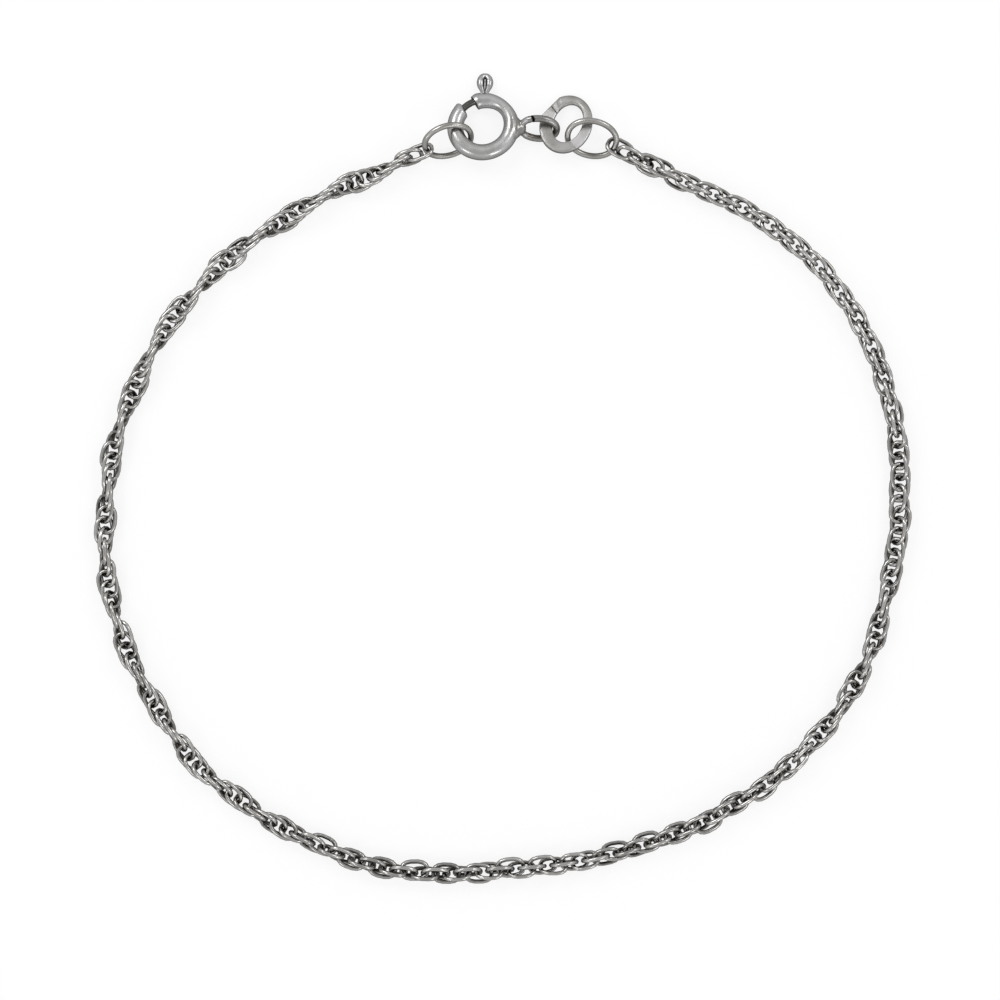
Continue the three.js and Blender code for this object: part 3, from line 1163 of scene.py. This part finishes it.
@dataclass
class FlatRing:
    """The flat slit ring: satin, rounder along its top, with faces pressed flat and its rim cut straight."""

    frame: dict
    turn: float = -3.5
    rim: Oval = Oval(x=-0.03, y=0.02, half_width=1.92, half_height=2.33, lean=15.0)
    hole: Oval = Oval(x=0.1, y=0.06, half_width=1.06, half_height=1.56, lean=17.0)
    straight: Pair = (141.0, 1.84)
    slit: float = 0.07
    slit_angle: float = 131.5
    squareness: Pair = (2.4, 5.0)
    round_part: Pair = (78.0, 62.0)
    blend: float = 15.0
    dullness: float = 0.6
    faces: tuple[PressedFace, ...] = (
        PressedFace(start=-71.0, end=-8.0, depth=0.03, tilt=0.03),
        PressedFace(start=115.0, end=127.0, depth=0.02, tilt=0.04, skew=-4.0),
        PressedFace(start=140.0, end=172.0, depth=0.02, tilt=-0.02),
    )

    def build(self) -> Object:
        """Builds the ring at the place of its CAD node.

        Returns:
            The finished piece.
        """
        lie = Lie.of_node(self.frame["nodes"]["tag_ring"], self.turn)
        bpy.ops.mesh.primitive_torus_add(
            major_segments=240, minor_segments=32, major_radius=1.0, minor_radius=TORUS_TUBE
        )
        ring = bpy.context.object
        reshape(ring, lambda place: self.flatten(place, lie.size.z))
        bpy.ops.mesh.primitive_cube_add(
            scale=(0.6 * MM, self.slit / 2 * MM, 0.6 * MM), location=(1.6 * MM, 0.0, 0.0)
        )
        cut = bpy.context.object
        apply_place(cut)
        apply_place(cut, turned(self.slit_angle))
        combine(ring, cut, "DIFFERENCE")
        paint_darkening(ring, self.darkening)
        apply_place(ring, lie.matrix)
        tidy(ring, sharp=50.0)
        material = SATIN_SILVER.material()
        return dress(ring, "tag_ring_band", material, BODY, ("tag_ring",))

    def darkening(self, place: Vector) -> float:
        """Tells how dull the flat ring is: less where it was pressed.

        Args:
            place: A place on the ring, in its own axes.

        Returns:
            The tarnish there.
        """
        angle = math.atan2(place.y, place.x)
        rim, hole = self.rim.point(angle).length * MM, self.hole.point(angle).length * MM
        across = 2 * (math.hypot(place.x, place.y) - hole) / (rim - hole) - 1.0
        pressed = max(face.share(math.degrees(angle), across) for face in self.faces) if place.z > 0 else 0.0
        return self.dullness * (1.0 - pressed)

    def flatten(self, place: Vector, thickness: float) -> Vector:
        """Turns a place on a plain unit torus into one on the flat ring.

        Args:
            place: The place on the torus, whose tube has a radius of TORUS_TUBE.
            thickness: The flat ring's thickness in metres.

        Returns:
            Where it goes.
        """
        angle = math.atan2(place.y, place.x)
        middle, reach = self.round_part
        off = abs((math.degrees(angle) - middle + 180.0) % 360.0 - 180.0)
        flatness = clamp((off - reach + self.blend) / (2 * self.blend))
        square = self.squareness[0] + (self.squareness[1] - self.squareness[0]) * flatness
        sides = (math.hypot(place.x, place.y) - 1.0, place.z)
        across, up = (math.copysign(abs(side / TORUS_TUBE) ** (2.0 / square), side) for side in sides)
        rim, hole = self.rim.point(angle), self.hole.point(angle)
        direction = Matrix.Rotation(math.radians(self.straight[0]), 3, "Z") @ Vector((1.0, 0.0, 0.0))
        rim -= direction * max(0.0, rim.dot(direction) - self.straight[1])
        flat = hole.lerp(rim, (1.0 + across) / 2) * MM
        sunk = sum(face.drop(math.degrees(angle), across) for face in self.faces) * MM if up > 0 else 0.0
        return flat + Vector((0.0, 0.0, up * thickness / 2 - sunk * clamp(up)))


# ---- the studio ----


@dataclass(frozen=True)
class Softbox:
    """A square lamp: its bearing in degrees, its height in metres, its watts and its side in metres."""

    bearing: float
    height: float
    power: float
    side: float


@dataclass
class Studio:
    """A pale floor, soft light from all round and a camera that looks straight down."""

    low: Vector
    high: Vector
    view_width: float = 73.5
    view_offset: Pair = (-0.17, -1.64)
    lens: float = 100.0
    sensor: float = 36.0
    clip: Pair = (0.005, 10.0)
    floor_side: float = 1.2
    floor_shade: float = 0.2
    floor_light: float = 0.81
    sky_light: float = 0.58
    sky_bands: tuple[Pair, ...] = (
        # how high from straight below, 0, to straight above, 1, and how bright
        (0.0, 0.12), (0.1, 0.3), (0.25, 0.75), (0.5, 0.95),
        (0.7, 1.1), (0.85, 1.25), (0.97, 0.9),
    )
    lamps_away: float = 0.26
    lamps: tuple[Softbox, ...] = (
        Softbox(bearing=40.0, height=0.28, power=0.13, side=0.11),
        Softbox(bearing=130.0, height=0.25, power=0.22, side=0.14),
        Softbox(bearing=220.0, height=0.28, power=0.09, side=0.11),
        Softbox(bearing=310.0, height=0.25, power=0.105, side=0.11),
    )

    def build(self) -> None:
        """Sets up the floor, the lights, the sky and the camera."""
        self.floor()
        self.sky()
        self.softboxes()
        self.camera()

    def floor(self) -> None:
        """Lays the pale floor under the lowest point, softly lit from below so that shadows stay faint."""
        bpy.ops.mesh.primitive_plane_add(size=self.floor_side, location=(0.0, 0.0, self.low.z))
        floor = bpy.context.object
        apply_place(floor)
        floor.name = "floor"
        material = bpy.data.materials.new("pale floor")
        material.use_nodes = True
        shader = material.node_tree.nodes["Principled BSDF"]
        shader.inputs["Base Color"].default_value = (self.floor_shade,) * 3 + (1.0,)
        shader.inputs["Roughness"].default_value = 0.9
        shader.inputs["Emission Color"].default_value = (1.0, 1.0, 1.0, 1.0)
        shader.inputs["Emission Strength"].default_value = self.floor_light
        floor.data.materials.append(material)
        floor.visible_glossy = False
        floor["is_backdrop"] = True

    def sky(self) -> None:
        """Gives the room round the bracelet bright and dark bands for the metal to show."""
        world = bpy.data.worlds.new("studio")
        bpy.context.scene.world = world
        world.use_nodes = True
        nodes, links = world.node_tree.nodes, world.node_tree.links
        place = nodes.new("ShaderNodeTexCoord")
        split = nodes.new("ShaderNodeSeparateXYZ")
        ramp = nodes.new("ShaderNodeValToRGB")
        links.new(place.outputs["Generated"], split.inputs["Vector"])
        height = nodes.new("ShaderNodeMapRange")
        height.inputs["From Min"].default_value = -1.0
        links.new(split.outputs["Z"], height.inputs["Value"])
        links.new(height.outputs["Result"], ramp.inputs["Fac"])
        links.new(ramp.outputs["Color"], nodes["Background"].inputs["Color"])
        while len(ramp.color_ramp.elements) < len(self.sky_bands):
            ramp.color_ramp.elements.new(0.5)
        for element, (position, light) in zip(ramp.color_ramp.elements, self.sky_bands):
            element.position = position
            element.color = (light, light, light, 1.0)
        nodes["Background"].inputs["Strength"].default_value = self.sky_light

    def softboxes(self) -> None:
        """Hangs the softboxes round the bracelet, each turned to its middle."""
        middle = (self.low + self.high) / 2
        for lamp in self.lamps:
            x, y = heading(lamp.bearing)
            place = middle + Vector((self.lamps_away * x, self.lamps_away * y, lamp.height))
            bpy.ops.object.light_add(type="AREA", location=place)
            light = bpy.context.object
            light.data.size = lamp.side
            light.data.energy = lamp.power
            light.rotation_euler = (middle - place).to_track_quat("-Z", "Y").to_euler()

    def camera(self) -> None:
        """Hangs the camera straight above, looking down."""
        middle = (self.low + self.high) / 2
        away = self.lens / self.sensor * self.view_width * MM
        offset = Vector((*self.view_offset, 0.0)) * MM
        bpy.ops.object.camera_add(location=(middle.x + offset.x, middle.y + offset.y, middle.z + away))
        camera = bpy.context.object
        camera.rotation_euler = (0.0, 0.0, 0.0)
        camera.data.lens = self.lens
        camera.data.sensor_width = self.sensor
        camera.data.clip_start, camera.data.clip_end = self.clip
        bpy.context.scene.camera = camera
        bpy.context.scene.view_settings.view_transform = "Standard"


def main() -> None:
    """Builds the bracelet's looks piece by piece, then the studio round the model's box."""
    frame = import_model()
    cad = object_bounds()
    SingaporeChain(frame).build()
    JumpRings(frame).build()
    clasp = SpringRing(frame)
    clasp.build_ring()
    clasp.build_bolt()
    FlatRing(frame).build()
    Studio(*cad).build()


if __name__ == "__main__":
    logging.basicConfig(level=logging.INFO, format="%(name)s: %(message)s")
    main()
